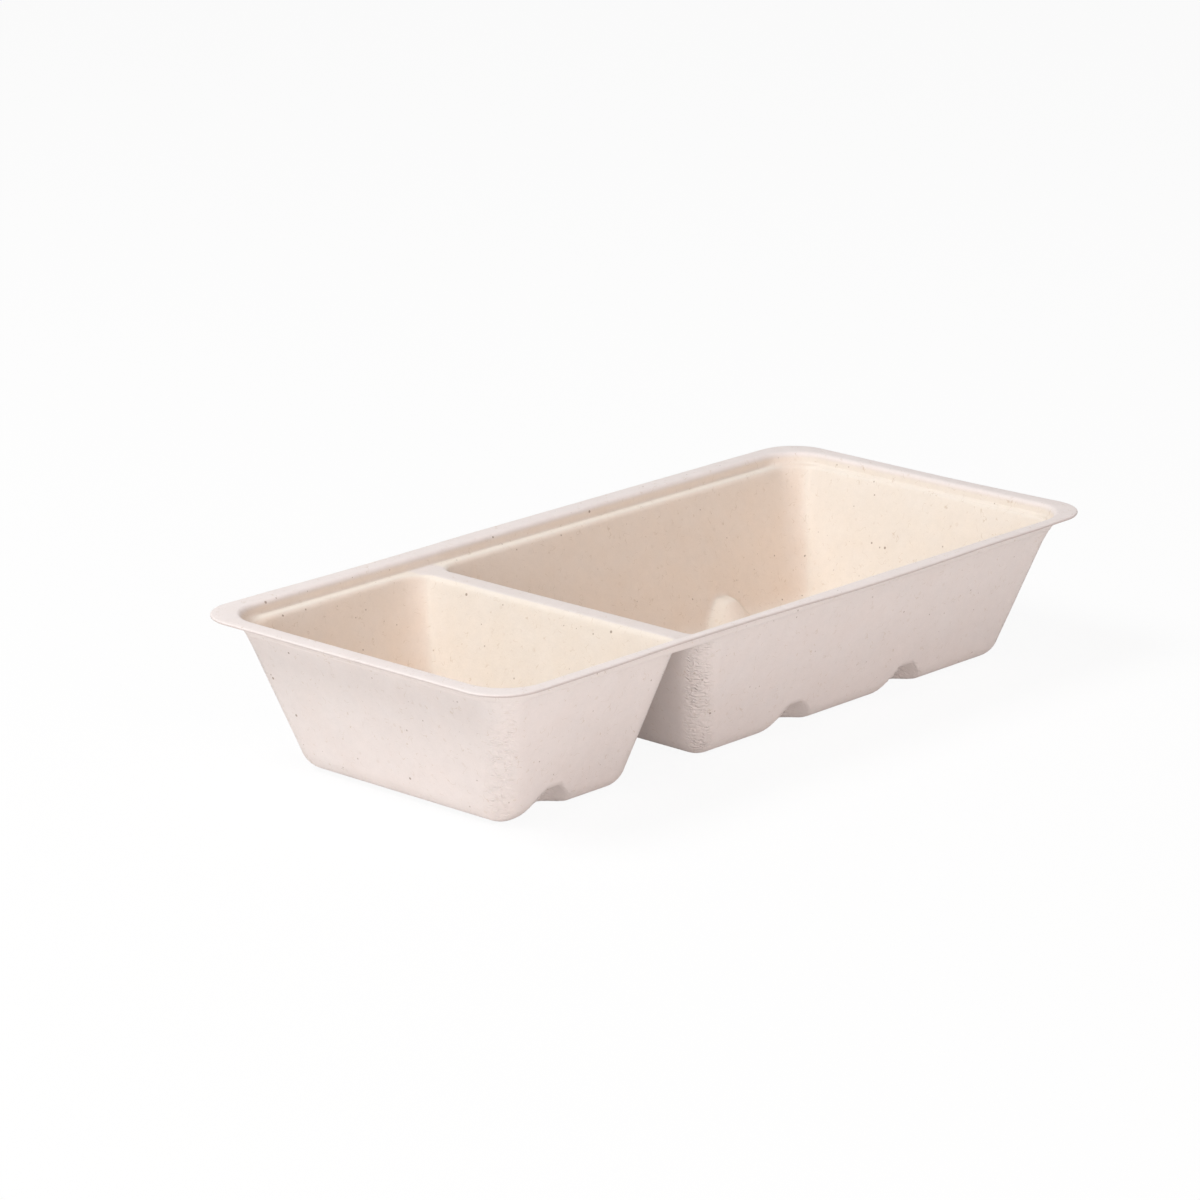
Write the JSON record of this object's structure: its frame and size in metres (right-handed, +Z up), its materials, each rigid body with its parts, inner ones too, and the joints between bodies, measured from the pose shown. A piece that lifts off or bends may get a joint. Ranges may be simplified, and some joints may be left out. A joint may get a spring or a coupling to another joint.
{
  "type": "snack tray",
  "caption": "Shallow oblong moulded-fibre tray with sloping walls, a flat rim with a lid ledge, a cross divider between a small and a large compartment, and stacking lugs at its foot.",
  "frame": {"origin": "middle of the tray's box, at the level of the table it stands on", "axes": "+X along the length towards the large compartment, +Y to the far long side, +Z up"},
  "size_m": [0.225, 0.106, 0.04],
  "materials": {
    "bagasse": "matte pressed pulp, off-white, with small brown flecks"
  },
  "bodies": {
    "root": {"tray": "bagasse"}
  },
  "joints": []
}
